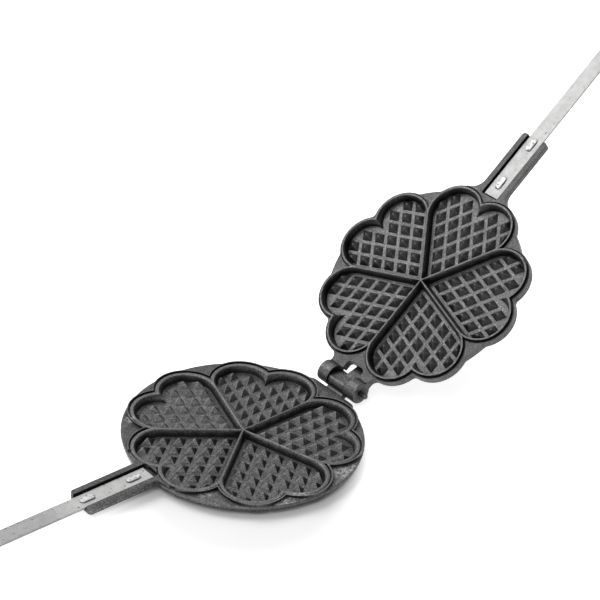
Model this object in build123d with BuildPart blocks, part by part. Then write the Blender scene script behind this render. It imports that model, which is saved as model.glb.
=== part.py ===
from build123d import *
from math import asin, cos, degrees, radians, sin, sqrt, tan
import os

# Stovetop waffle iron: two cast-iron halves, each with five heart-shaped pans, joined by a
# pinned hinge and carried on flat steel handles. Millimetres, +Z up. The origin is the centre
# of the lower half's flat underside, and +X runs from the handles towards the hinge.

# ---- driving dimensions ----

# Hearts, five about the centre of each half
hearts = 5
rib_w = 2.2  # thickness of a rib, between two hearts, where their walls would meet the rim
lobe_r = 28.0  # radius of a heart's lobe at its mouth
lobe_centre_r = 81.5  # from the centre of the half to the centre of a lobe
mouth_flare = 0.6  # how far the chamfer round the mouth of a pan opens outwards
lip_inset = 0.4  # how far the wall stands in at the foot of that chamfer
lip_depth = 1.6
floor_inset = 2.3  # how far the wall stands in at the floor
mouth_notch = 97.5  # notch of a heart, from the centre of the half, at the mouth
lip_notch = 96.0
floor_notch = 87.5
lower_pan = 7.5  # depth of the lower pans
upper_pan = 8.5

# Waffle pegs, on a skewed grid that follows the two ribs of each heart
peg_pitch = 14.9
peg_start = 5.4  # first grid line, measured along a rib
valley_w = 3.5
peg_h = 4.8
peg_tip = 0.9
peg_rows = (6, 6, 5, 3, 3, 2)

# Rim round the hearts, with a groove outside it. Levels are measured below the rim
lower_rim_w = 3.6
lower_groove_w = 1.8
lower_groove = 1.6  # level of the groove's floor
guard_w = 1.3  # thin raised lip outside the groove
guard_rise = 1.2  # its top, above the rim
guard_gap = 3.0  # how far it stops short of the handle's flat, in degrees
lower_flange = 1.6
upper_rim_w = 2.2
upper_groove_w = 1.8
upper_groove = 4.2
upper_flange = 2.6
upper_ledge = 2.6  # body showing outside the upper rim at a lobe

# Castings
lower_t = 12.5  # from underside to rim
upper_t = 12.5
lower_r = 117.0  # round outline of the lower half
edge_lip = 1.0
foot_r = 108.0  # flat underside of the lower half
foot_bevel = 6.0
upper_web = 1.3  # body between the lobes of the upper half, past the notches of the hearts
scallop_fillet = 5.0
back_bevel = 5.0

# Hinge
hinge_x = 128.8
hinge_rise = 5.7  # pin axis above the lower rim
closed_gap = 0.35  # between the two rims when the iron is shut
open_angle = 140.1  # from shut to the stop
outer_r = 11.3  # outer knuckles, on the upper half
middle_r = 10.0  # middle knuckle, on the lower half
middle_flat = 4.7  # its flat top, above the pin axis
knuckle_half = 11.5  # half the width of the middle knuckle
knuckle_gap = 0.7  # each side of the middle knuckle
hinge_half = 26.5  # half the width over the outer knuckles
knuckle_edge = 0.8  # rounding at the ends of a knuckle
knuckle_root = 3.0  # rounding of the corner between a knuckle and its arm
window_x = 107.7  # inner end of the opening between the upper arms
window_w = 22.8
window_shift = 2.6  # its middle, towards the pin's free end
window_corner = 3.5
arm_root = 96.0  # where arms and sockets start, inside the body
lower_arm = 10.5  # underside of the lower arm
upper_arm = 11.0
arm_fillet = 7.0
pad_x = 116.8  # edge of the lower body's straight front, under the outer knuckles
pad_half = 34.0
pad_corner = 8.0
stop_angle = 15.5  # slope of the stop lug behind the middle knuckle
stop_reach = 25.0  # from the pin axis to the end of the lug
stop_t = 5.0
stop_y = (-11.2, 2.0)
stop_gap = 0.3

# Hinge pin
pin_r = 2.6
pin_free = 8.0  # end standing out of the knuckle on one side
pin_head_r = 4.4
pin_head_t = 2.4
pin_head_round = 1.8
pin_end_bevel = 0.7
running_fit = 0.08
slip_fit = 0.02

# Handle socket
socket_end = 189.4
socket_half = 16.2
socket_wall = 5.9
socket_h = 7.0  # from the tops of its walls to its back
lower_tops = 1.0  # tops of the lower socket's walls, above the rim
upper_tops = -1.1
socket_corner = 3.6  # outer corner of a wall's end
socket_mouth = 1.4  # inner corner of a wall's end
lower_flare = 5.0  # where the socket runs into the body
upper_flare = 15.0
lower_slot_end = 108.6  # inner end of the strap's slot
upper_slot_end = 111.2

# Handle strap
strap_in = 113.2  # inner end of the strap
strap_out = 320.0  # free end of the strap
strap_w = 17.2
strap_t = 2.0
strap_sink = 2.5  # strap's face, below the tops of the walls

# Rivets, two to a handle, with long domed heads
rivet_x = (130.2, 181.0)
rivet_head = (15.5, 6.5)
rivet_head_t = 1.6
rivet_head_round = 1.2
rivet_r = 2.6

# ---- derived sizes ----

half_angle = 180 / hearts
lobe_turn = half_angle - degrees(asin((lobe_r + rib_w / 2) / lobe_centre_r))
lobe_x = lobe_centre_r * cos(radians(lobe_turn))
lobe_y = lobe_centre_r * sin(radians(lobe_turn))
guard_in_w = lower_rim_w + lower_groove_w
upper_web_r = upper_web + lobe_x + sqrt((lobe_r + upper_rim_w + upper_ledge) ** 2 - lobe_y**2)
slot_half = socket_half - socket_wall
slot_floor = strap_sink + strap_t
handle_turn = 180
window_half = knuckle_half + knuckle_gap
hinge_z = lower_t + hinge_rise

# Each half is drawn in its own frame: its rim lies in the local XY plane, local Z stands out of
# the pans, and local X points at the hinge. The upper half is drawn open, against its stop.
lower_rim = Plane(origin=(0, 0, lower_t), x_dir=(1, 0, 0), z_dir=(0, 0, 1))
swing_cos = cos(radians(open_angle))
swing_sin = sin(radians(open_angle))
upper_drop = hinge_rise - closed_gap  # pin axis behind the upper rim
upper_rim = Plane(
    origin=(
        hinge_x - hinge_x * swing_cos - upper_drop * swing_sin,
        0,
        hinge_z + hinge_x * swing_sin - upper_drop * swing_cos,
    ),
    x_dir=(swing_cos, 0, -swing_sin),
    z_dir=(-swing_sin, 0, -swing_cos),
)

# The stop lug slopes up from the pin axis to just under the near corner of the upper body
corner_out = (window_x - hinge_x) * swing_cos + (upper_arm - upper_drop) * swing_sin
corner_up = (hinge_x - window_x) * swing_sin + (upper_arm - upper_drop) * swing_cos
stop_cos = cos(radians(stop_angle))
stop_sin = sin(radians(stop_angle))
stop_top = corner_up * stop_cos - corner_out * stop_sin - stop_gap
stop_plane = Plane(
    origin=(hinge_x, stop_y[1], hinge_z), x_dir=(stop_cos, 0, stop_sin), z_dir=(0, -1, 0)
)


def side_of(rim):
    """Plane through the middle of a half, seen from the side: X to the hinge, Y out of the pans."""
    return Plane(origin=rim.origin, x_dir=rim.x_dir, z_dir=-rim.y_dir)


def turned(plane, turn):
    """The same plane, turned about its own normal."""
    return plane.moved(Location((0, 0, 0), (0, 0, turn)))


# ---- outlines, seen square on to the rim ----


def heart(plane, turn, inset, notch=None):
    """Outline of one heart, drawn inset from its nominal wall, with its notch at a given radius."""
    r = lobe_r - inset
    wall = rib_w / 2 + inset
    notch_x = notch or lobe_x + sqrt(r**2 - lobe_y**2)
    mid_turn = (90 + half_angle) / 2
    tip = (wall / sin(radians(half_angle)), 0)
    with BuildSketch(turned(plane, turn), mode=Mode.PRIVATE) as outline:
        with BuildLine():
            for s in (1, -1):
                tangent = (
                    lobe_x - r * sin(radians(half_angle)),
                    s * (lobe_y + r * cos(radians(half_angle))),
                )
                mid = (
                    lobe_x + r * cos(radians(mid_turn)),
                    s * (lobe_y + r * sin(radians(mid_turn))),
                )
                crown = (lobe_x + r, s * lobe_y)
                Line(tip, tangent)
                ThreePointArc(tangent, mid, crown)
                TangentArc(crown, (notch_x, 0), tangent=(0, -s))
        make_face()
    return outline.sketch


def heart_turns():
    """Direction of each heart from the centre, with one heart over the handle."""
    return [handle_turn + 360 * i / hearts for i in range(hearts)]


def rosette(plane, width):
    """Outline of all the hearts together, grown outwards by a width."""
    with BuildSketch(plane, mode=Mode.PRIVATE) as outline:
        for turn in heart_turns():
            add(heart(Plane.XY, turn, -width))
    return outline.sketch


def placed(plane, outline):
    """An outline laid on a plane."""
    with BuildSketch(plane, mode=Mode.PRIVATE) as laid:
        add(outline)
    return laid.sketch


def round_plan(radius):
    """A plain disc outline."""
    with BuildSketch(mode=Mode.PRIVATE) as disc:
        Circle(radius)
    return disc.sketch


def scalloped_plan():
    """Outline of the upper body: its lobes, and the web that fills in between them."""
    with BuildSketch(mode=Mode.PRIVATE) as body:
        add(rosette(Plane.XY, upper_rim_w + upper_ledge))
        Circle(upper_web_r)
        hollows = body.vertices().filter_by(lambda v: v.center().length < lobe_centre_r + lobe_r)
        fillet(hollows, radius=scallop_fillet)
    return body.sketch


def socket_plan():
    """Outline of the handle socket, from inside the body to its rounded outer corners."""
    with BuildSketch(mode=Mode.PRIVATE) as outline:
        with Locations((-socket_end, 0)):
            Rectangle(socket_end - arm_root, 2 * socket_half, align=(Align.MIN, Align.CENTER))
        fillet(outline.vertices().group_by(Axis.X)[0], radius=socket_corner)
    return outline.sketch


def arm_plan(half_width):
    """Outline of a hinge arm, from inside the body to the pin axis."""
    with BuildSketch(mode=Mode.PRIVATE) as outline:
        with Locations((arm_root, 0)):
            Rectangle(hinge_x - arm_root, 2 * half_width, align=(Align.MIN, Align.CENTER))
    return outline.sketch


def flared(body, limb, half_width, radius):
    """A limb joined to a body's outline, with the corner on each side of it rounded out."""
    with BuildSketch(mode=Mode.PRIVATE) as outline:
        add(body)
        add(limb)
        beside = outline.vertices().filter_by(lambda v: abs(abs(v.Y) - half_width) < 0.001)
        fillet(beside.sort_by(lambda v: abs(v.X))[:2], radius=radius)
    return outline.sketch


def wedge(half_turn):
    """A wedge from the centre out over the handle, wide enough for its socket."""
    reach = 2 * socket_end
    spread = reach * tan(radians(half_turn))
    with BuildSketch(mode=Mode.PRIVATE) as sector:
        Polygon([(0, 0), (-reach, spread), (-reach, -spread)], align=None)
    return sector.sketch


def root_plan(outline):
    """The part of an outline between the two lobes beside the handle, and the socket outside."""
    with BuildSketch(mode=Mode.PRIVATE) as root:
        add(outline)
        add(wedge(lobe_turn), mode=Mode.INTERSECT)
    return root.sketch


def guard_plan():
    """Outline of the raised lip round the lower hearts, left out beside the handle."""
    with BuildSketch(mode=Mode.PRIVATE) as guard:
        add(rosette(Plane.XY, guard_in_w + guard_w))
        add(rosette(Plane.XY, guard_in_w), mode=Mode.SUBTRACT)
        add(wedge(lobe_turn + guard_gap), mode=Mode.SUBTRACT)
    return guard.sketch


# ---- forms shared by both halves ----


def peg(plane):
    """One waffle peg: a four-sided pyramid with a blunt tip, skewed to the ribs."""
    along = Vector(cos(radians(half_angle)), sin(radians(half_angle)))
    across = Vector(cos(radians(half_angle)), -sin(radians(half_angle)))
    foot = (peg_pitch - valley_w / sin(radians(2 * half_angle))) / 2
    with BuildPart(mode=Mode.PRIVATE) as pyramid:
        for level, half in ((0, foot), (peg_h, peg_tip / 2)):
            with BuildSketch(plane.offset(level)):
                Polygon(
                    [(along * a + across * b) * half for a, b in ((1, 1), (1, -1), (-1, -1), (-1, 1))],
                    align=None,
                )
        loft(ruled=True)
    return pyramid.part


def peg_places():
    """Centres of the pegs in one heart, from its grid along the two ribs."""
    places = []
    for row, count in enumerate(peg_rows):
        for column in range(count):
            s = peg_start + (column + 0.5) * peg_pitch
            t = peg_start + (row + 0.5) * peg_pitch
            places.append(((s + t) * cos(radians(half_angle)), (s - t) * sin(radians(half_angle))))
    return places


def cut_groove(rim, width, level):
    """Cut everything within a width of the hearts down to the groove's floor."""
    extrude(rosette(rim.offset(-level), width), amount=level + socket_h, mode=Mode.SUBTRACT)


def sink_hearts(rim, rim_w, pan):
    """Raised rim, five pans with a chamfered mouth and leaning walls, and their pegs."""
    floor = rim.offset(-pan)
    extrude(rosette(rim, rim_w), amount=-pan)
    for turn in heart_turns():
        mouth = heart(rim, turn, -mouth_flare, mouth_notch)
        lip = heart(rim.offset(-lip_depth), turn, lip_inset, lip_notch)
        foot = heart(floor, turn, floor_inset, floor_notch)
        loft(sections=[mouth, lip], ruled=True, mode=Mode.SUBTRACT)
        loft(sections=[lip, foot], ruled=True, mode=Mode.SUBTRACT)
    for turn in heart_turns():
        with Locations(turned(floor, turn)):
            with Locations(*peg_places()):
                add(peg(Plane.XY))


def disc_section(rim):
    """Half section of the round lower casting, from its axis out to its bevelled foot and lip."""
    with BuildSketch(side_of(rim), mode=Mode.PRIVATE) as section:
        with BuildLine():
            Polyline(
                (0, -lower_t),
                (foot_r, -lower_t),
                (lower_r - edge_lip, foot_bevel - lower_t),
                (lower_r, -lower_flange - edge_lip),
                (lower_r - edge_lip, -lower_flange),
                (0, -lower_flange),
                close=True,
            )
        make_face()
    return section.sketch


def arm_side(rim, axis_w, radius, arm):
    """Side of a hinge arm and its knuckle, with the corner between them rounded out."""
    top = max(w for _, w in arm)
    with BuildSketch(side_of(rim), mode=Mode.PRIVATE) as side:
        with Locations((hinge_x, axis_w)):
            Circle(radius)
        Polygon(arm, align=None)
        corners = side.vertices().filter_by(lambda v: abs(v.Y - top) < 0.001)
        fillet(corners.sort_by(Axis.X)[-1], radius=knuckle_root)
    return side.sketch


def barrel(rim, axis_w, radius, near, far):
    """A hinge knuckle about the pin axis, between two distances from the middle plane."""
    with BuildPart(mode=Mode.PRIVATE) as knuckle:
        with BuildSketch(side_of(rim).offset(near)):
            with Locations((hinge_x, axis_w)):
                Circle(radius)
        extrude(amount=far - near)
        fillet(knuckle.edges().filter_by(GeomType.CIRCLE), radius=knuckle_edge)
    return knuckle.part


def bore(rim, axis_w, radius):
    """Cut the pin's bore right across the hinge."""
    with BuildSketch(side_of(rim), mode=Mode.PRIVATE) as hole:
        with Locations((hinge_x, axis_w)):
            Circle(radius)
    extrude(hole.sketch, amount=hinge_half + 1, both=True, mode=Mode.SUBTRACT)


def cut_slot(tops, slot_end):
    """Cut the strap's slot into the socket, open and rounded at its outer end, and the holes."""
    with BuildSketch(tops.offset(-slot_floor), mode=Mode.PRIVATE) as slot:
        with Locations((-slot_end, 0)):
            Rectangle(2 * socket_end, 2 * slot_half, align=(Align.MAX, Align.CENTER))
        with Locations((-socket_end, 0)):
            Rectangle(socket_end, 3 * socket_half, align=(Align.MAX, Align.CENTER))
        mouth = slot.vertices().filter_by(lambda v: abs(abs(v.Y) - slot_half) < 0.001)
        fillet(mouth.sort_by(Axis.X)[:2], radius=socket_mouth)
    extrude(slot.sketch, amount=slot_floor, mode=Mode.SUBTRACT)
    rivet_holes(tops)


def rivet_holes(tops):
    """Holes for the rivets of one handle, through whatever is being built."""
    with BuildSketch(tops, mode=Mode.PRIVATE) as holes:
        with Locations(*[(-x, 0) for x in rivet_x]):
            Circle(rivet_r + slip_fit)
    extrude(holes.sketch, amount=-(socket_h + 1), mode=Mode.SUBTRACT)


# ---- lower half ----

lower_walls = lower_rim.offset(lower_tops)
lower_foot = foot_bevel - lower_t
with BuildPart() as lower_plate:
    revolve(disc_section(lower_rim), axis=Axis(lower_rim.origin, lower_rim.z_dir))
    with BuildSketch(lower_rim.offset(-lower_flange)) as pad:
        with Locations((arm_root, 0)):
            Rectangle(pad_x - arm_root, 2 * pad_half, align=(Align.MIN, Align.CENTER))
        fillet(pad.vertices().group_by(Axis.X)[-1], radius=pad_corner)
    extrude(amount=lower_foot + lower_flange)
    extrude(placed(lower_rim.offset(guard_rise), guard_plan()), amount=-guard_rise - lower_pan)
    disc = round_plan(lower_r - edge_lip)
    handle = root_plan(flared(disc, socket_plan(), socket_half, lower_flare))
    extrude(placed(lower_walls, handle), amount=-socket_h)
    lower_arm_side = [
        (arm_root, -lower_flange),
        (hinge_x, -lower_flange),
        (hinge_x, hinge_rise - middle_r),
        (lower_r - edge_lip, -lower_arm),
        (arm_root, -lower_arm),
    ]
    arm = arm_side(lower_rim, hinge_rise, middle_r, lower_arm_side)
    extrude(arm, amount=knuckle_half - knuckle_edge, both=True)
    add(barrel(lower_rim, hinge_rise, middle_r, -knuckle_half, knuckle_half))
    with BuildSketch(lower_rim.offset(hinge_rise + middle_flat)):
        with Locations((hinge_x, 0)):
            Rectangle(2 * middle_r, 2 * knuckle_half)
    extrude(amount=middle_r, mode=Mode.SUBTRACT)
    with BuildSketch(stop_plane) as lug:
        with Locations((0, stop_top)):
            Rectangle(stop_reach, stop_t, align=(Align.MIN, Align.MAX))
        fillet(lug.vertices().group_by(Axis.X)[-1], radius=stop_t / 3)
    extrude(amount=stop_y[1] - stop_y[0])
    cut_groove(lower_rim, guard_in_w, lower_groove)
    sink_hearts(lower_rim, lower_rim_w, lower_pan)
    cut_slot(lower_walls, lower_slot_end)
    bore(lower_rim, hinge_rise, pin_r + running_fit)

# ---- upper half, open ----

upper_walls = upper_rim.offset(upper_tops)
with BuildPart() as upper_plate:
    flange = upper_rim.offset(-upper_flange)
    body = scalloped_plan()
    extrude(placed(flange, body), amount=upper_flange - upper_t)
    back_face = upper_plate.faces().sort_by(Axis(upper_rim.origin, upper_rim.z_dir))[0]
    chamfer(back_face.edges(), length=back_bevel)
    arms = flared(body, arm_plan(hinge_half), hinge_half, arm_fillet)
    extrude(placed(flange, arms), amount=upper_flange - upper_arm)
    handle = root_plan(flared(body, socket_plan(), socket_half, upper_flare))
    extrude(placed(upper_walls, handle), amount=-socket_h)
    upper_arm_side = [
        (arm_root, -upper_flange),
        (hinge_x, -upper_flange),
        (hinge_x, -upper_arm),
        (arm_root, -upper_arm),
    ]
    arm = arm_side(upper_rim, -upper_drop, outer_r, upper_arm_side)
    extrude(arm, amount=hinge_half - knuckle_edge, both=True)
    add(barrel(upper_rim, -upper_drop, outer_r, -hinge_half, hinge_half))
    with BuildSketch(upper_rim.offset(outer_r)) as window:
        with Locations((window_x, window_shift)):
            Rectangle(hinge_x - window_x, window_w, align=(Align.MIN, Align.CENTER))
        fillet(window.vertices(), radius=window_corner)
        with Locations((hinge_x - outer_r, 0)):
            Rectangle(3 * outer_r, 2 * window_half, align=(Align.MIN, Align.CENTER))
    extrude(amount=-3 * outer_r, mode=Mode.SUBTRACT)
    cut_groove(upper_rim, upper_rim_w + upper_groove_w, upper_groove)
    sink_hearts(upper_rim, upper_rim_w, upper_pan)
    cut_slot(upper_walls, upper_slot_end)
    bore(upper_rim, -upper_drop, pin_r + slip_fit)

# ---- hinge pin ----

pin_axis = Plane(origin=(hinge_x, 0, hinge_z), x_dir=(1, 0, 0), z_dir=(0, 1, 0))
with BuildPart() as hinge_pin:
    with BuildSketch(pin_axis.offset(-hinge_half - pin_free)):
        Circle(pin_r)
    extrude(amount=2 * hinge_half + pin_free)
    chamfer(hinge_pin.edges().group_by(Axis.Y)[0], length=pin_end_bevel)
    with BuildSketch(pin_axis.offset(hinge_half)):
        Circle(pin_head_r)
    extrude(amount=pin_head_t)
    fillet(hinge_pin.edges().group_by(Axis.Y)[-1], radius=pin_head_round)

# ---- handle straps ----


def strap(tops):
    """A flat steel strap lying in its socket, square inside and rounded at its free end."""
    with BuildPart(mode=Mode.PRIVATE) as bar:
        with BuildSketch(tops.offset(-strap_sink)) as outline:
            with Locations((-strap_in, 0)):
                Rectangle(strap_out - strap_in, strap_w, align=(Align.MAX, Align.CENTER))
            fillet(outline.vertices().group_by(Axis.X)[0], radius=strap_w / 2 - 0.01)
        extrude(amount=-strap_t)
        rivet_holes(tops)
    return bar.part


with BuildPart() as lower_strap:
    add(strap(lower_walls))

with BuildPart() as upper_strap:
    add(strap(upper_walls))

# ---- rivets ----


def rivets(tops):
    """The two rivets of one handle: long domed heads on round shanks, flush behind the socket."""
    face = tops.offset(-strap_sink)
    with BuildPart(mode=Mode.PRIVATE) as pair:
        with BuildSketch(face):
            with Locations(*[(-x, 0) for x in rivet_x]):
                SlotOverall(*rivet_head)
        extrude(amount=rivet_head_t)
        crowns = pair.faces().group_by(Axis(face.origin, face.z_dir))[-1]
        fillet(crowns.edges(), radius=rivet_head_round)
        with BuildSketch(face):
            with Locations(*[(-x, 0) for x in rivet_x]):
                Circle(rivet_r)
        extrude(amount=strap_sink - socket_h)
    return pair.part


with BuildPart() as lower_rivets:
    add(rivets(lower_walls))

with BuildPart() as upper_rivets:
    add(rivets(upper_walls))

# ---- write the pieces ----

os.makedirs("parts", exist_ok=True)
pieces = {
    "lower_plate": lower_plate,
    "upper_plate": upper_plate,
    "hinge_pin": hinge_pin,
    "lower_strap": lower_strap,
    "upper_strap": upper_strap,
    "lower_rivets": lower_rivets,
    "upper_rivets": upper_rivets,
}
for name, piece in pieces.items():
    piece.part.label = name
    export_step(piece.part, f"parts/{name}.step")
    print(name, round(piece.part.volume / 1000, 1), "cm3")
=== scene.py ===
"""Stovetop waffle iron, open: finishes, floor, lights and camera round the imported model."""

import logging
from abc import ABC, abstractmethod
from dataclasses import dataclass
from enum import Enum
from typing import ClassVar

import bpy
from mathutils import Matrix, Vector

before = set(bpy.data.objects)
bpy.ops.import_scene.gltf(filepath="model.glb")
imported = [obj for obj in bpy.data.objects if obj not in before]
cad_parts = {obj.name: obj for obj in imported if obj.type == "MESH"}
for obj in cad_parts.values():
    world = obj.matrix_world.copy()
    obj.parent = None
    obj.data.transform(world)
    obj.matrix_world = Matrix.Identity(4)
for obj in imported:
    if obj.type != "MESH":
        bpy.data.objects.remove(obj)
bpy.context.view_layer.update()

log = logging.getLogger("waffle_iron")
logging.basicConfig(level=logging.INFO, format="%(name)s: %(message)s")

MM = 0.001

NODE_STEP = (190, 160)  # spacing of the nodes in an editor
NODE_ROWS = 3

FLOAT = "NodeSocketFloat"
VECTOR = "NodeSocketVector"

Socket = bpy.types.NodeSocket
Sockets = bpy.types.bpy_prop_collection
Span = tuple[float, float]
Triple = tuple[float, float, float]
Feed = Socket | float | tuple[float, ...]  # what an input is given: an output or a value

BLACK: Triple = (0.0, 0.0, 0.0)
WHITE: Triple = (1.0, 1.0, 1.0)


class Half(Enum):
    """The two hinged halves, whose pieces are named alike."""

    LOWER = "lower"
    UPPER = "upper"

    def node(self, piece: str) -> bpy.types.Object:
        """One of this half's CAD nodes, such as its plate."""
        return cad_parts[f"{self.value}_{piece}"]


def grey(value: float) -> Triple:
    """A neutral colour of one linear value."""
    return (value, value, value)


def per_metre(size_mm: float) -> float:
    """Scale of a texture whose lumps are about a given size across."""
    return 1 / (size_mm * MM)


# ---- node trees ----


@dataclass
class Wiring:
    """A node tree being wired up, for a material, the world or a shader node group.

    Attributes:
        tree: the node tree.
        count: how many nodes it was given so far, which places the next one.
    """

    tree: bpy.types.NodeTree
    count: int = 0

    def feed(self, node: bpy.types.Node, inputs: dict[str | int, Feed]) -> None:
        """Set or link a node's inputs.

        Args:
            node: the node.
            inputs: input names or numbers, each with its value or the output that feeds it.
        """
        for name, value in inputs.items():
            if isinstance(value, Socket):
                self.tree.links.new(value, node.inputs[name])
            else:
                node.inputs[name].default_value = value

    def add(
        self, kind: str, inputs: dict[str | int, Feed] | None = None, **settings: object
    ) -> bpy.types.Node:
        """Add a node, set it up and feed its inputs.

        Args:
            kind: the node's Blender type.
            inputs: input names or numbers, each with its value or the output that feeds it.
            settings: the node's own properties.

        Returns:
            The new node.
        """
        node = self.tree.nodes.new(kind)
        self.count += 1
        node.location = (self.count * NODE_STEP[0], -(self.count % NODE_ROWS) * NODE_STEP[1])
        for name, value in settings.items():
            setattr(node, name, value)
        self.feed(node, inputs or {})
        return node

    def math(self, operation: str, *values: Feed) -> Socket:
        """Output of a Math node on numbers or outputs."""
        return self.add("ShaderNodeMath", dict(enumerate(values)), operation=operation).outputs[0]

    def measure(self, operation: str, first: Feed, second: Feed) -> Socket:
        """Number that a Vector Math node makes of two vectors.

        Args:
            operation: what it measures, DOT_PRODUCT or DISTANCE.
            first: a vector or the output that gives it.
            second: a vector or the output that gives it.

        Returns:
            The node's value.
        """
        node = self.add("ShaderNodeVectorMath", {0: first, 1: second}, operation=operation)
        return node.outputs["Value"]

    def ramp(
        self, value: Feed, low: Feed, high: Feed, to_low: Feed = 0.0, to_high: Feed = 1.0
    ) -> Socket:
        """A value mapped smoothly from one span to another.

        Args:
            value: the output to map.
            low: start of the span it comes from.
            high: end of that span.
            to_low: what the start becomes.
            to_high: what the end becomes.

        Returns:
            The mapped output.
        """
        node = self.add(
            "ShaderNodeMapRange",
            {
                "Value": value,
                "From Min": low,
                "From Max": high,
                "To Min": to_low,
                "To Max": to_high,
            },
            interpolation_type="SMOOTHSTEP",
        )
        return node.outputs["Result"]

    def fade(self, value: Feed, low: Feed, high: Feed, full: Feed = 1.0) -> Socket:
        """A full amount up to the low value, falling smoothly to nothing at the high one."""
        return self.ramp(value, low, high, full, 0.0)

    def noise(
        self, where: Socket, scale: Feed, detail: float = 3.0, roughness: float = 0.55
    ) -> Socket:
        """Soft noise.

        Args:
            where: the coordinates, in metres.
            scale: its lumps for each metre.
            detail: octaves of finer noise.
            roughness: how strong the finer octaves are.

        Returns:
            The noise's value.
        """
        node = self.add(
            "ShaderNodeTexNoise",
            {"Vector": where, "Scale": scale, "Detail": detail, "Roughness": roughness},
        )
        return node.outputs["Fac"]

    def tint(self, amount: Feed, color: Socket, paint: Triple) -> Socket:
        """A colour with some of another one over it.

        Args:
            amount: share of the paint, from 0 to 1.
            color: the colour below.
            paint: the colour that goes over it.

        Returns:
            The mixed colour.
        """
        node = self.add("ShaderNodeMix", {0: amount, 6: color, 7: (*paint, 1)}, data_type="RGBA")
        return node.outputs[2]

    def place(self) -> Socket:
        """Object coordinates."""
        return self.add("ShaderNodeTexCoord").outputs["Object"]

    def normal(self) -> Socket:
        """Normal in object space."""
        return self.add("ShaderNodeTexCoord").outputs["Normal"]

    def seen(self) -> tuple[Socket, Socket]:
        """Tell apart the rays by which the object's surroundings are seen.

        Returns:
            Masks of the camera's own rays, and of those that metal or glass sends on.
        """
        rays = self.add("ShaderNodeLightPath").outputs
        sent_on = self.math("MAXIMUM", rays["Is Glossy Ray"], rays["Is Transmission Ray"])
        return rays["Is Camera Ray"], sent_on


def empty_material(name: str) -> tuple[bpy.types.Material, Wiring]:
    """Make a material without nodes.

    Args:
        name: the material's name.

    Returns:
        The material, and the wiring of its node tree.
    """
    material = bpy.data.materials.new(name)
    material.use_nodes = True
    material.node_tree.nodes.clear()
    return material, Wiring(material.node_tree)


class NodeGroup(ABC):
    """A shader node group with named inputs and outputs, built once and used by every finish.

    Attributes:
        name: the group's name.
        inputs: each input's socket type, and the value it starts with.
        outputs: each output's socket type.
    """

    name: ClassVar[str]
    inputs: ClassVar[dict[str, tuple[str, float | None]]]
    outputs: ClassVar[dict[str, str]]

    def build(self) -> bpy.types.NodeTree:
        """Make the group, or return it where it is there already.

        Returns:
            The group's node tree.
        """
        made = bpy.data.node_groups.get(self.name)
        if made:
            return made
        tree = bpy.data.node_groups.new(self.name, "ShaderNodeTree")
        for title, (kind, start) in self.inputs.items():
            socket = tree.interface.new_socket(title, in_out="INPUT", socket_type=kind)
            if start is not None:
                socket.default_value = start
        for title, kind in self.outputs.items():
            tree.interface.new_socket(title, in_out="OUTPUT", socket_type=kind)
        wiring = Wiring(tree)
        source = wiring.add("NodeGroupInput")
        wiring.add("NodeGroupOutput", self.wire(wiring, source.outputs))
        return tree

    @abstractmethod
    def wire(self, wiring: Wiring, source: Sockets) -> dict[str, Socket]:
        """Wire the group.

        Args:
            wiring: the group's tree.
            source: what the group is given, by input name.

        Returns:
            What feeds each of the group's outputs.
        """

    def use(self, wiring: Wiring, **values: Feed) -> Sockets:
        """Place the group in a material.

        Args:
            wiring: the material's tree.
            values: what its inputs are given.

        Returns:
            The group's outputs.
        """
        node = wiring.add("ShaderNodeGroup", node_tree=self.build())
        wiring.feed(node, values)
        return node.outputs


class Grain(NodeGroup):
    """Sandy or rolled grain: fine grit, with broader mottling over it.

    Grit and Mottle are sizes in millimetres.
    """

    name = "grain"
    inputs = {"Place": (VECTOR, None), "Grit": (FLOAT, 1.0), "Mottle": (FLOAT, 14.0)}
    outputs = {"Height": FLOAT, "Tone": FLOAT, "Patch": FLOAT, "Speck": FLOAT}

    pit_scale: ClassVar[float] = 0.55  # pits for each lump of grit
    grit_share: ClassVar[float] = 0.6  # of the height, where pits make up the rest
    fine_noise: ClassVar[Span] = (2.0, 0.6)
    broad_noise: ClassVar[Span] = (4.0, 0.6)
    tone_span: ClassVar[Span] = (0.3, 0.7)
    patch_span: ClassVar[Span] = (0.34, 0.66)
    speck_span: ClassVar[Span] = (0.6, 0.72)

    def wire(self, wiring: Wiring, source: Sockets) -> dict[str, Socket]:
        """Take height, tone and specks from the grit, and patches from the mottling.

        Args:
            wiring: the group's tree.
            source: what the group is given, by input name.

        Returns:
            What feeds each of the group's outputs.
        """
        place = source["Place"]
        grit_scale = wiring.math("DIVIDE", 1 / MM, source["Grit"])
        mottle_scale = wiring.math("DIVIDE", 1 / MM, source["Mottle"])
        fine = wiring.noise(place, grit_scale, *self.fine_noise)
        pits = wiring.add(
            "ShaderNodeTexVoronoi",
            {"Vector": place, "Scale": wiring.math("MULTIPLY", grit_scale, self.pit_scale)},
            feature="SMOOTH_F1",
        ).outputs["Distance"]
        broad = wiring.noise(place, mottle_scale, *self.broad_noise)
        return {
            "Height": wiring.math(
                "ADD",
                wiring.math("MULTIPLY", fine, self.grit_share),
                wiring.math("MULTIPLY", pits, 1 - self.grit_share),
            ),
            "Tone": wiring.ramp(fine, *self.tone_span),
            "Patch": wiring.ramp(broad, *self.patch_span),
            "Speck": wiring.ramp(fine, *self.speck_span),
        }


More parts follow.
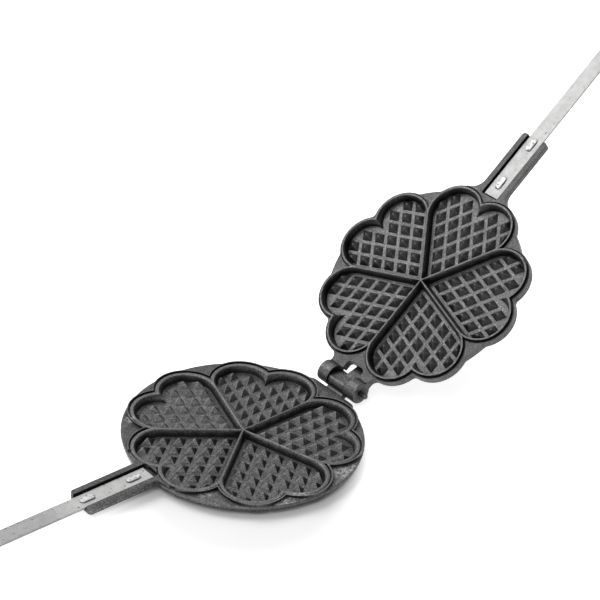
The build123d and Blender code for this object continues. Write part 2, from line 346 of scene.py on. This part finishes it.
class EdgeWearAndHighlight(NodeGroup):
    """Rounded edges: a softened normal, and a mask of where the surface turns.

    Radius is the edge's, in metres, and Break is how far noise breaks the mask up.
    """

    name = "edge_wear_and_highlight"
    inputs = {"Radius": (FLOAT, 0.0006), "Break": (FLOAT, 0.5)}
    outputs = {"Mask": FLOAT, "Normal": VECTOR}

    samples: ClassVar[int] = 4
    turn_span: ClassVar[Span] = (0.01, 0.16)
    break_mm: ClassVar[float] = 2.5
    break_span: ClassVar[Span] = (0.35, 0.6)

    def wire(self, wiring: Wiring, source: Sockets) -> dict[str, Socket]:
        """Compare the rounded normal with the true one, and break the mask up with noise.

        Args:
            wiring: the group's tree.
            source: what the group is given, by input name.

        Returns:
            What feeds each of the group's outputs.
        """
        soft = wiring.add(
            "ShaderNodeBevel", {"Radius": source["Radius"]}, samples=self.samples
        ).outputs[0]
        true = wiring.add("ShaderNodeNewGeometry").outputs["True Normal"]
        along = wiring.measure("DOT_PRODUCT", soft, true)
        turn = wiring.ramp(wiring.math("SUBTRACT", 1.0, along), *self.turn_span)
        noise = wiring.noise(wiring.place(), per_metre(self.break_mm))
        broken = wiring.math("MULTIPLY", source["Break"], wiring.ramp(noise, *self.break_span))
        keep = wiring.math("SUBTRACT", 1.0, broken)
        return {"Mask": wiring.math("MULTIPLY", turn, keep), "Normal": soft}


class PaintedShade(NodeGroup):
    """Painted shade: deep in corners, on walls, on faces turned from the light and round the pan
    floors.

    Reach is how far it looks for walls, in metres. Face is the way that the pans face, and
    Lee the way in which the darker walls face. A face stays free of painted shade that is more
    level than Lean or more open than Corner. Pool is the level of the pan floors along Face,
    round which shade is painted.
    """

    name = "painted_shade"
    inputs = {
        "Reach": (FLOAT, 0.006),
        "Face": (VECTOR, None),
        "Lee": (VECTOR, None),
        "Lean": (FLOAT, 0.62),
        "Corner": (FLOAT, 0.9),
        "Pool": (FLOAT, -1.0),
    }
    outputs = {"Mask": FLOAT}

    samples: ClassVar[int] = 6
    steep: ClassVar[float] = 0.45  # a face as steep as this counts as a wall
    shaded_side_span: ClassVar[Span] = (0.38, 0.62)
    sunk_span: ClassVar[Span] = (0.88, 0.99)
    shut: ClassVar[float] = 0.35  # a place as shut in as this is all black
    floor_shade_span: ClassVar[Span] = (0.0002, 0.0016)
    floor_shade_full: ClassVar[float] = 0.55

    def wire(self, wiring: Wiring, source: Sockets) -> dict[str, Socket]:
        """Take ambient occlusion over a short reach, stronger on leaning and lee faces.

        Args:
            wiring: the group's tree.
            source: what the group is given, by input name.

        Returns:
            What feeds each of the group's outputs.
        """
        open_sky = wiring.add(
            "ShaderNodeAmbientOcclusion", {"Distance": source["Reach"]}, samples=self.samples
        ).outputs["AO"]
        normal = wiring.normal()
        across = wiring.measure("DOT_PRODUCT", normal, source["Face"])
        along = wiring.measure("DOT_PRODUCT", normal, source["Lee"])
        wall = wiring.fade(wiring.math("ABSOLUTE", across), self.steep, source["Lean"])
        leaning = wiring.math("MAXIMUM", wall, wiring.ramp(along, *self.shaded_side_span))
        sunk = wiring.fade(open_sky, *self.sunk_span)
        sheltered = wiring.math("MULTIPLY", leaning, sunk)
        corner = wiring.fade(open_sky, self.shut, source["Corner"])
        level = wiring.measure("DOT_PRODUCT", wiring.place(), source["Face"])
        over = wiring.math("SUBTRACT", level, source["Pool"])
        low = wiring.fade(over, *self.floor_shade_span, full=self.floor_shade_full)
        floor_shade = wiring.math("MULTIPLY", low, sunk)
        return {"Mask": wiring.math("MAXIMUM", floor_shade, wiring.math("MAXIMUM", sheltered, corner))}


GRAIN = Grain()
EDGE_WEAR_AND_HIGHLIGHT = EdgeWearAndHighlight()
PAINTED_SHADE = PaintedShade()


# ---- finishes ----


@dataclass(frozen=True)
class Finish:
    """A metal finish with grain, mottling, rubbed edges with painted highlight, and painted
    shade.

    Attributes:
        name: the material's name.
        dark: colour of its hollows.
        light: colour of its high places.
        edge: colour of its rubbed edges, made lighter still by painted highlight, and of its
            specks.
        metallic: how much of it is bare metal.
        rough: its roughness where it is light, and where it is dark.
        grit_mm: size of its grit.
        mottle_mm: size of its broader patches.
        mottle: share of those patches in its tone.
        bump_mm: height of its grit.
        edge_mm: radius of its edges.
        speck: how far its highest grains take the edge's colour.
        shade_depth: how black the shade painted in its corners and on its walls is.
        shade_reach_mm: how far it looks for walls round a corner with painted shade.
        face: way that the pans face, in object space.
        shaded_side: way in which the walls and pegs face that get darker painted shade, in object
            space.
        lean: how level a face has to be to stay free of painted shade.
        corner: how open a place has to be to stay free of painted shade.
        floor_shade: level of the pan floors along `face`, round which shade is painted, in
            metres.
    """

    name: str
    dark: Triple
    light: Triple
    edge: Triple
    metallic: float
    rough: Span
    grit_mm: float
    mottle_mm: float
    mottle: float
    bump_mm: float
    edge_mm: float
    speck: float
    shade_depth: float
    shade_reach_mm: float
    face: Triple = (0.0, 0.0, 1.0)
    shaded_side: Triple = (0.0, 0.0, 0.0)
    lean: float = 0.62
    corner: float = 0.9
    floor_shade: float = -1.0

    def material(self) -> bpy.types.Material:
        """Build the finish, or return it where it is there already.

        Returns:
            The finish as a material.
        """
        made = bpy.data.materials.get(self.name)
        if made:
            return made
        made, wiring = empty_material(self.name)
        grain = GRAIN.use(wiring, Place=wiring.place(), Grit=self.grit_mm, Mottle=self.mottle_mm)
        rounded_edges = EDGE_WEAR_AND_HIGHLIGHT.use(wiring, Radius=self.edge_mm * MM)
        tone = wiring.math(
            "ADD",
            wiring.math("MULTIPLY", grain["Tone"], 1 - self.mottle),
            wiring.math("MULTIPLY", grain["Patch"], self.mottle),
        )
        normal = wiring.add(
            "ShaderNodeBump",
            {
                "Height": grain["Height"],
                "Distance": self.bump_mm * MM,
                "Strength": 1.0,
                "Normal": rounded_edges["Normal"],
            },
        ).outputs[0]
        shader = wiring.add(
            "ShaderNodeBsdfPrincipled",
            {
                "Base Color": self.color(wiring, tone, grain["Speck"], rounded_edges["Mask"]),
                "Metallic": self.metallic,
                "Roughness": wiring.ramp(tone, 0.0, 1.0, self.rough[1], self.rough[0]),
                "Normal": normal,
            },
        )
        wiring.add("ShaderNodeOutputMaterial", {"Surface": shader.outputs[0]})
        return made

    def color(self, wiring: Wiring, tone: Socket, speck: Socket, rubbed_and_highlit: Socket) -> Socket:
        """Colour of the metal with its edges and their painted highlight, specks, painted shade
        and marks.

        Args:
            wiring: the material's tree.
            tone: from 0 where the metal is dark to 1 where it is light.
            speck: mask of its highest grains.
            rubbed_and_highlit: mask of its edges, rubbed and with painted highlight.

        Returns:
            The base colour.
        """
        metal = wiring.add(
            "ShaderNodeMix",
            {0: tone, 6: (*self.dark, 1), 7: (*self.light, 1)},
            data_type="RGBA",
        ).outputs[2]
        # Edges go lighter with rubbing and with painted highlight; high grains give specks.
        lightened = wiring.math("MAXIMUM", rubbed_and_highlit, wiring.math("MULTIPLY", speck, self.speck))
        painted_shade = PAINTED_SHADE.use(
            wiring,
            Reach=self.shade_reach_mm * MM,
            Face=self.face,
            Lee=self.shaded_side,
            Lean=self.lean,
            Corner=self.corner,
            Pool=self.floor_shade,
        )["Mask"]
        # Painted shade: corners, walls and faces turned from the light go towards black.
        shaded = wiring.math("MULTIPLY", painted_shade, self.shade_depth)
        return self.marks(wiring, wiring.tint(shaded, wiring.tint(lightened, metal, self.edge), BLACK))

    def marks(self, wiring: Wiring, color: Socket) -> Socket:
        """Colour with this finish's own marks on it. A plain finish has none."""
        return color


@dataclass(frozen=True)
class GroundIron(Finish):
    """Cast iron made darker at set levels, with painted shade on its pegs and painted glints on
    its flange.

    Levels are heights along `face`, in metres.

    Attributes:
        glint_spots: X, Y and reach of each painted glint on the flange, in metres.
        darkened: levels that are made darker, where the first is the flange's.
        level_darkness: how dark those levels are.
        darker_side: way in which their darkness deepens, or None where it is even.
        peg_shade: how dark the shade painted on the pegs is, on most faces and on those turned
            from the light.
        darkening_color: grey of the dark levels and of the painted shade on the pegs.
        glint_color: grey of the painted glints.
        glint_grit_mm: size of the grit in a painted glint.
        glint_noise: octaves of that grit, and how strong the finer ones are.
        core: share of a spot's reach where the glint is painted all over.
        level_span: how far from a dark level its darkness starts and stops fading.
        side_span: span along `darker_side` over which the darkness deepens.
        thin: share of the darkness that is left on the lighter side.
        slope: how level a peg's faces are.
        slope_span: how far from that slope a face starts and stops counting as a peg's.
        peg_drop: how far under the flange a peg's painted shade is full, and where it is gone.
        shaded_side_span: how far a peg's face turns from the light as its painted shade deepens.
        flat_span: how level a face has to be to take a painted glint.
        glint_span: values of the grit's noise between no glint and a full one.
    """

    glint_spots: tuple[Triple, ...] = ()
    darkened: tuple[float, ...] = ()
    level_darkness: float = 0.45
    darker_side: Triple | None = None
    peg_shade: Span = (0.0, 0.0)
    darkening_color: float = 0.01
    glint_color: float = 0.46
    glint_grit_mm: float = 2.4
    glint_noise: Span = (4.0, 0.7)
    core: float = 0.4
    level_span: Span = (0.0003, 0.0007)
    side_span: Span = (-0.03, 0.06)
    thin: float = 0.1
    slope: float = 0.66
    slope_span: Span = (0.12, 0.22)
    peg_drop: Span = (0.002, 0.001)
    shaded_side_span: Span = (0.3, 0.55)
    flat_span: Span = (0.8, 0.95)
    glint_span: Span = (0.44, 0.6)

    def marks(self, wiring: Wiring, color: Socket) -> Socket:
        """Put on the darker levels, the painted shade on the pegs and the painted glints.

        Args:
            wiring: the material's tree.
            color: the iron's colour.

        Returns:
            The colour with its marks.
        """
        place, normal = wiring.place(), wiring.normal()
        level = wiring.measure("DOT_PRODUCT", place, self.face)
        facing = wiring.measure("DOT_PRODUCT", normal, self.face)
        shaded_side = wiring.measure("DOT_PRODUCT", normal, self.shaded_side)
        # Darker bands at the given levels, and painted shade on the pegs.
        darkening = wiring.math(
            "MAXIMUM", self.level_band(wiring, place, level), self.pegs(wiring, level, facing, shaded_side)
        )
        darkened = wiring.tint(darkening, color, grey(self.darkening_color))
        return wiring.tint(self.glint_mask(wiring, place, facing), darkened, grey(self.glint_color))

    def level_band(self, wiring: Wiring, place: Socket, level: Socket) -> Feed:
        """Mask of the darker band on the flange and the socket's tops.

        Args:
            wiring: the material's tree.
            place: object coordinates.
            level: height along `face`.

        Returns:
            How dark it is there.
        """
        band: Feed = 0.0
        for height in self.darkened:
            off = wiring.math("ABSOLUTE", wiring.math("SUBTRACT", level, height))
            near = wiring.fade(off, *self.level_span, full=self.level_darkness)
            band = wiring.math("MAXIMUM", band, near)
        if self.darker_side is None:
            return band
        side = wiring.measure("DOT_PRODUCT", place, self.darker_side)
        return wiring.math("MULTIPLY", band, wiring.ramp(side, *self.side_span, self.thin, 1.0))

    def pegs(self, wiring: Wiring, level: Socket, facing: Socket, shaded_side: Socket) -> Socket:
        """Mask of the shade painted on the pegs.

        Args:
            wiring: the material's tree.
            level: height along `face`.
            facing: how level a face is.
            shaded_side: how far it turns from the light.

        Returns:
            How much painted shade lies there.
        """
        off = wiring.math("ABSOLUTE", wiring.math("SUBTRACT", facing, self.slope))
        full, gone = (self.darkened[0] - drop for drop in self.peg_drop)
        sloping = wiring.fade(off, *self.slope_span)
        peg = wiring.math("MULTIPLY", sloping, wiring.fade(level, full, gone))
        return wiring.math("MULTIPLY", peg, wiring.ramp(shaded_side, *self.shaded_side_span, *self.peg_shade))

    def glint_mask(self, wiring: Wiring, place: Socket, facing: Socket) -> Socket:
        """Mask of the painted glints: bright grit round each spot on the flange.

        Args:
            wiring: the material's tree.
            place: object coordinates.
            facing: how level a face is.

        Returns:
            How strong the painted glint is.
        """
        near: Feed = 0.0
        # Painted glints: bright grit round each spot on the flange.
        for x, y, reach in self.glint_spots:
            away = wiring.measure("DISTANCE", place, (x, y, self.darkened[0]))
            near = wiring.math("MAXIMUM", near, wiring.fade(away, reach * self.core, reach))
        flat = wiring.math("MULTIPLY", near, wiring.ramp(facing, *self.flat_span))
        grit = wiring.noise(place, per_metre(self.glint_grit_mm), *self.glint_noise)
        return wiring.math("MULTIPLY", flat, wiring.ramp(grit, *self.glint_span))


@dataclass(frozen=True)
class MarkedAndShadedSteel(Finish):
    """Plain steel with small dark marks and painted shade of dents, duller towards the lower
    handle's end.

    Attributes:
        mark_and_shade_mm: size of a dark patch.
        mark_and_shade_noise: octaves of the dark patches' noise, and how strong the finer ones
            are.
        mark_and_shade_from: value of that noise from which the steel is marked and shaded.
        mark_and_shade_step: how far above that value a dark patch is full.
        mark_and_shade_color: grey of a dark patch.
        dull: how far the handled end takes the dull grey.
        dull_color: that grey.
        dull_span: X between the dull and the plain steel, in metres.
    """

    mark_and_shade_mm: float = 3.2
    mark_and_shade_noise: Span = (1.0, 0.4)
    mark_and_shade_from: float = 0.7
    mark_and_shade_step: float = 0.06
    mark_and_shade_color: float = 0.14
    dull: float = 0.5
    dull_color: float = 0.2
    dull_span: Span = (-0.23, -0.19)

    def marks(self, wiring: Wiring, color: Socket) -> Socket:
        """Dull the handled end, and paint the dark marks and dent shade where a coarse noise
        stands high.

        Args:
            wiring: the material's tree.
            color: the steel's colour.

        Returns:
            The colour with its marks.
        """
        place = wiring.place()
        along = wiring.add("ShaderNodeSeparateXYZ", {0: place}).outputs["X"]
        handled = wiring.fade(along, *self.dull_span, full=self.dull)
        noise = wiring.noise(place, per_metre(self.mark_and_shade_mm), *self.mark_and_shade_noise)
        # Dark marks on the straps, and painted shade of dents on the rivets.
        marks_and_shade = wiring.ramp(noise, self.mark_and_shade_from, self.mark_and_shade_from + self.mark_and_shade_step)
        dulled = wiring.tint(handled, color, grey(self.dull_color))
        return wiring.tint(marks_and_shade, dulled, grey(self.mark_and_shade_color))


# The lower half lies level. Its flange is 10.9 mm up and its socket's tops 13.5 mm.
LOWER_IRON = GroundIron(
    name="lower_cast_iron",
    dark=(0.05, 0.05, 0.051),
    light=(0.21, 0.21, 0.212),
    edge=(0.4, 0.4, 0.402),
    metallic=0.55,
    rough=(0.38, 0.6),
    grit_mm=1.4,
    mottle_mm=12.0,
    mottle=0.2,
    bump_mm=0.28,
    edge_mm=1.1,
    speck=0.4,
    shade_depth=0.92,
    shade_reach_mm=8.0,
    # Shade is painted on the walls and peg faces that face this way.
    shaded_side=(0.755, -0.656, 0.0),
    corner=0.95,
    floor_shade=0.005,
    # Painted glints on the flange.
    glint_spots=(
        (0.036, -0.107, 0.015),
        (0.048, -0.108, 0.011),
        (-0.025, -0.112, 0.017),
        (-0.041, -0.107, 0.011),
        (-0.09, -0.055, 0.009),
        (-0.078, 0.076, 0.007),
    ),
    darkened=(0.0109, 0.0135),
    darker_side=(-0.6, 0.8, 0.0),
    peg_shade=(0.0, 0.55),
)
# The upper half leans back on its stop. Its iron is darker than the lower half's,
# and the shade on its pegs is painted on the faces towards the hinge.
UPPER_IRON = GroundIron(
    name="upper_cast_iron",
    dark=(0.045, 0.045, 0.046),
    light=(0.14, 0.14, 0.142),
    edge=(0.32, 0.32, 0.322),
    metallic=0.6,
    rough=(0.36, 0.56),
    grit_mm=1.1,
    mottle_mm=12.0,
    mottle=0.15,
    bump_mm=0.26,
    edge_mm=1.0,
    speck=0.6,
    shade_depth=0.95,
    shade_reach_mm=8.0,
    face=(-0.641, 0.0, 0.767),
    shaded_side=(-0.767, 0.0, -0.641),
    lean=0.95,
    corner=0.8,
    darkened=(-0.06585, -0.06435),
    peg_shade=(0.3, 0.82),
)
PIN_STEEL = Finish(
    name="oiled_pin_steel",
    dark=(0.05, 0.05, 0.052),
    light=(0.14, 0.14, 0.142),
    edge=(0.4, 0.4, 0.4),
    metallic=0.7,
    rough=(0.28, 0.45),
    grit_mm=0.6,
    mottle_mm=6.0,
    mottle=0.4,
    bump_mm=0.03,
    edge_mm=0.4,
    speck=0.3,
    shade_depth=0.5,
    shade_reach_mm=3.0,
)
STRAP_STEEL = MarkedAndShadedSteel(
    name="rolled_strap_steel",
    dark=(0.4, 0.4, 0.396),
    light=(0.56, 0.56, 0.555),
    edge=(0.9, 0.9, 0.9),
    metallic=0.3,
    rough=(0.5, 0.62),
    grit_mm=1.2,
    mottle_mm=8.0,
    mottle=0.4,
    bump_mm=0.02,
    edge_mm=0.4,
    speck=0.2,
    shade_depth=0.4,
    shade_reach_mm=2.0,
)
RIVET_STEEL = MarkedAndShadedSteel(
    name="pressed_rivet_steel",
    dark=(0.48, 0.48, 0.48),
    light=(0.74, 0.74, 0.74),
    edge=(0.95, 0.95, 0.95),
    metallic=0.4,
    rough=(0.35, 0.5),
    grit_mm=3.5,
    mottle_mm=4.0,
    mottle=0.4,
    bump_mm=1.2,
    edge_mm=0.4,
    speck=0.2,
    shade_depth=0.8,
    shade_reach_mm=2.5,
    mark_and_shade_mm=3.0,
    mark_and_shade_from=0.57,
)


def dress(piece: bpy.types.Object, finish: Finish) -> None:
    """Give a piece its finish.

    Args:
        piece: the piece.
        finish: what it is made of.
    """
    piece.data.materials.clear()
    piece.data.materials.append(finish.material())
    log.info("%s dressed in %s", piece.name, finish.name)


# ---- sub-assemblies ----


@dataclass
class CastHalf:
    """One cast-iron half: its plate, and the strap and rivets of its handle.

    Attributes:
        half: which half.
        iron: finish of its plate.
        strap: finish of its strap.
        rivets: finish of its rivets.
    """

    half: Half
    iron: Finish
    strap: Finish = STRAP_STEEL
    rivets: Finish = RIVET_STEEL

    def build(self) -> None:
        """Dress the plate and its handle."""
        dress(self.half.node("plate"), self.iron)
        dress(self.half.node("strap"), self.strap)
        dress(self.half.node("rivets"), self.rivets)


@dataclass
class Hinge:
    """The pin through the knuckles.

    Attributes:
        pin: name of its CAD node.
        steel: its finish.
    """

    pin: str = "hinge_pin"
    steel: Finish = PIN_STEEL

    def build(self) -> None:
        """Dress the pin."""
        dress(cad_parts[self.pin], self.steel)


@dataclass(frozen=True)
class Lamp:
    """A square soft lamp.

    Attributes:
        name: the lamp's name.
        place: where it hangs, in metres.
        size: its side, in metres.
        power: its power, in watts.
        aim: what it points at, in metres.
    """

    name: str
    place: Triple
    size: float
    power: float
    aim: Triple = (0.1, 0.0, 0.05)

    def build(self) -> None:
        """Hang the lamp and aim it."""
        bpy.ops.object.light_add(type="AREA", location=self.place)
        lamp = bpy.context.object
        lamp.name = self.name
        lamp.data.shape = "SQUARE"
        lamp.data.size = self.size
        lamp.data.energy = self.power
        way = Vector(self.aim) - Vector(self.place)
        lamp.rotation_euler = way.to_track_quat("-Z", "Y").to_euler()


@dataclass(frozen=True)
class PhotoCamera:
    """The camera, where the photograph was taken from.

    Attributes:
        place: where it stands, in metres.
        right: way to the right of the picture.
        down: way to the foot of the picture.
        view: way that it looks.
        lens_mm: its focal length.
        sensor_mm: width of its sensor.
        clip: nearest and farthest that it sees, in metres.
    """

    place: Triple = (-0.88935, -0.98049, 0.96843)
    right: Triple = (0.74979, -0.65675, 0.08058)
    down: Triple = (-0.29211, -0.43781, -0.85029)
    view: Triple = (0.59371, 0.61400, -0.52011)
    lens_mm: float = 102.09
    sensor_mm: float = 36.0
    clip: Span = (0.05, 60.0)

    def build(self) -> None:
        """Set the camera up as the scene's camera."""
        right, down, view = map(Vector, (self.right, self.down, self.view))
        turn = Matrix((right, -down, -view)).transposed().to_4x4()
        bpy.ops.object.camera_add()
        camera = bpy.context.object
        camera.matrix_world = Matrix.Translation(self.place) @ turn
        camera.data.sensor_width = self.sensor_mm
        camera.data.lens = self.lens_mm
        camera.data.clip_start, camera.data.clip_end = self.clip
        bpy.context.scene.camera = camera


@dataclass
class Studio:
    """White floor, white surroundings, soft lamps and the camera.

    Attributes:
        floor_half: half the floor's side, in metres.
        floor_color: grey of its paper.
        floor_lift: glow that camera and metal see on it, near the object and far from it.
        lift_span: distances between which that glow rises, in metres.
        lift_centre: where those distances are measured from, in metres.
        world_span: light of the surroundings from their dim side to their bright side.
        world_side: way to their bright side, about one long.
        side_span: how far round to that side the light rises.
        horizon: heights between which metal stops seeing plain white.
        lamps: the lamps.
        camera: the camera.
    """

    floor_half: float = 12.0
    floor_color: float = 0.9
    floor_lift: Span = (0.05, 0.75)
    lift_span: Span = (0.075, 0.15)
    lift_centre: Triple = (-0.05, -0.06, 0.0)
    world_span: Span = (0.08, 0.5)
    world_side: Triple = (-0.1, 0.7, 0.7)
    side_span: Span = (-0.3, 1.0)
    horizon: Span = (0.1, 0.35)
    lamps: tuple[Lamp, ...] = (
        Lamp("key", (-0.35, 1.25, 1.6), 1.3, 26.0),
        Lamp("back", (1.3, 1.3, 1.1), 1.2, 5.0),
        Lamp("side", (-1.8, 1.4, 0.35), 0.9, 6.0),
        Lamp("front", (-1.1, -0.65, 1.6), 0.9, 11.0),
    )
    camera: PhotoCamera = PhotoCamera()

    def build(self) -> None:
        """Set up everything round the object."""
        self.floor()
        self.world()
        for lamp in self.lamps:
            lamp.build()
        self.camera.build()
        bpy.context.scene.view_settings.view_transform = "Standard"
        log.info("studio ready, with %d lamps", len(self.lamps))

    def floor(self) -> None:
        """Lay a white floor that keeps the object's soft shadow close to it; a painted glow that
        rises away from the object hides its shadow farther out.
        """
        bpy.ops.object.select_all(action="DESELECT")
        bpy.ops.mesh.primitive_plane_add(size=2 * self.floor_half, location=(0, 0, 0))
        floor = bpy.context.object
        floor.name = "floor"
        material, wiring = empty_material("floor_paper")
        paper = wiring.add("ShaderNodeBsdfDiffuse", {"Color": (*grey(self.floor_color), 1)})
        # Painted glow: low near the object, where its shadow shows, and high farther out, where
        # it hides the shadow.
        away = wiring.measure("DISTANCE", wiring.place(), self.lift_centre)
        lift = wiring.ramp(away, *self.lift_span, *self.floor_lift)
        strength = wiring.math("MULTIPLY", wiring.math("MAXIMUM", *wiring.seen()), lift)
        glow = wiring.add("ShaderNodeEmission", {"Strength": strength})
        both = wiring.add("ShaderNodeAddShader", {0: paper.outputs[0], 1: glow.outputs[0]})
        wiring.add("ShaderNodeOutputMaterial", {"Surface": both.outputs[0]})
        floor.data.materials.append(material)

    def world(self) -> None:
        """Light the object with white from all round, stronger from above and behind it.

        The camera sees plain white there, and so do metal surfaces towards the horizon.
        """
        world = bpy.data.worlds.new("studio_world")
        bpy.context.scene.world = world
        world.use_nodes = True
        wiring = Wiring(world.node_tree)
        toward = wiring.add("ShaderNodeTexCoord").outputs["Generated"]
        side = wiring.measure("DOT_PRODUCT", toward, self.world_side)
        light = wiring.ramp(side, *self.side_span, *self.world_span)
        height = wiring.add("ShaderNodeSeparateXYZ", {0: toward}).outputs["Z"]
        direct, sent_on = wiring.seen()
        low = wiring.math("MULTIPLY", sent_on, wiring.fade(height, *self.horizon))
        plain = wiring.math("MAXIMUM", direct, low)
        wiring.feed(
            world.node_tree.nodes["Background"],
            {"Color": (*WHITE, 1), "Strength": wiring.math("MAXIMUM", light, plain)},
        )


def main() -> None:
    """Build and dress the sub-assemblies in order, then the studio."""
    CastHalf(Half.LOWER, LOWER_IRON).build()
    CastHalf(Half.UPPER, UPPER_IRON).build()
    Hinge().build()
    Studio().build()


if __name__ == "__main__":
    main()
